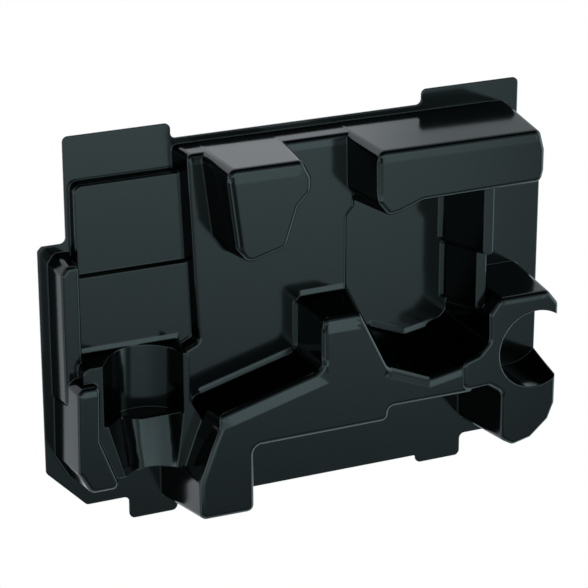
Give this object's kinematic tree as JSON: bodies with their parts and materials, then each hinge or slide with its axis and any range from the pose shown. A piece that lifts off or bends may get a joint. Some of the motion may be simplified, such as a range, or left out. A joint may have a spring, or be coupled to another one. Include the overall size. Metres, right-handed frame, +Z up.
{
  "type": "thermoformed tool tray insert",
  "caption": "Thin black formed plastic tray with raised blocks, a stepped plateau, an octagonal recess, a round trough and a C-shaped seat that hold a hand tool in its case.",
  "frame": {"origin": "middle of the flange's outline, on the plane the flange rests on", "axes": "+X along the long side, +Z up out of the sheet on the side the blocks rise, +Y completes a right-handed frame and points to the side with the two wide tabs"},
  "size_m": [0.38, 0.2851, 0.06],
  "materials": {
    "black_sheet": "semi-gloss formed polystyrene sheet"
  },
  "bodies": {
    "root": {"insert_tray": "black_sheet"}
  },
  "joints": []
}
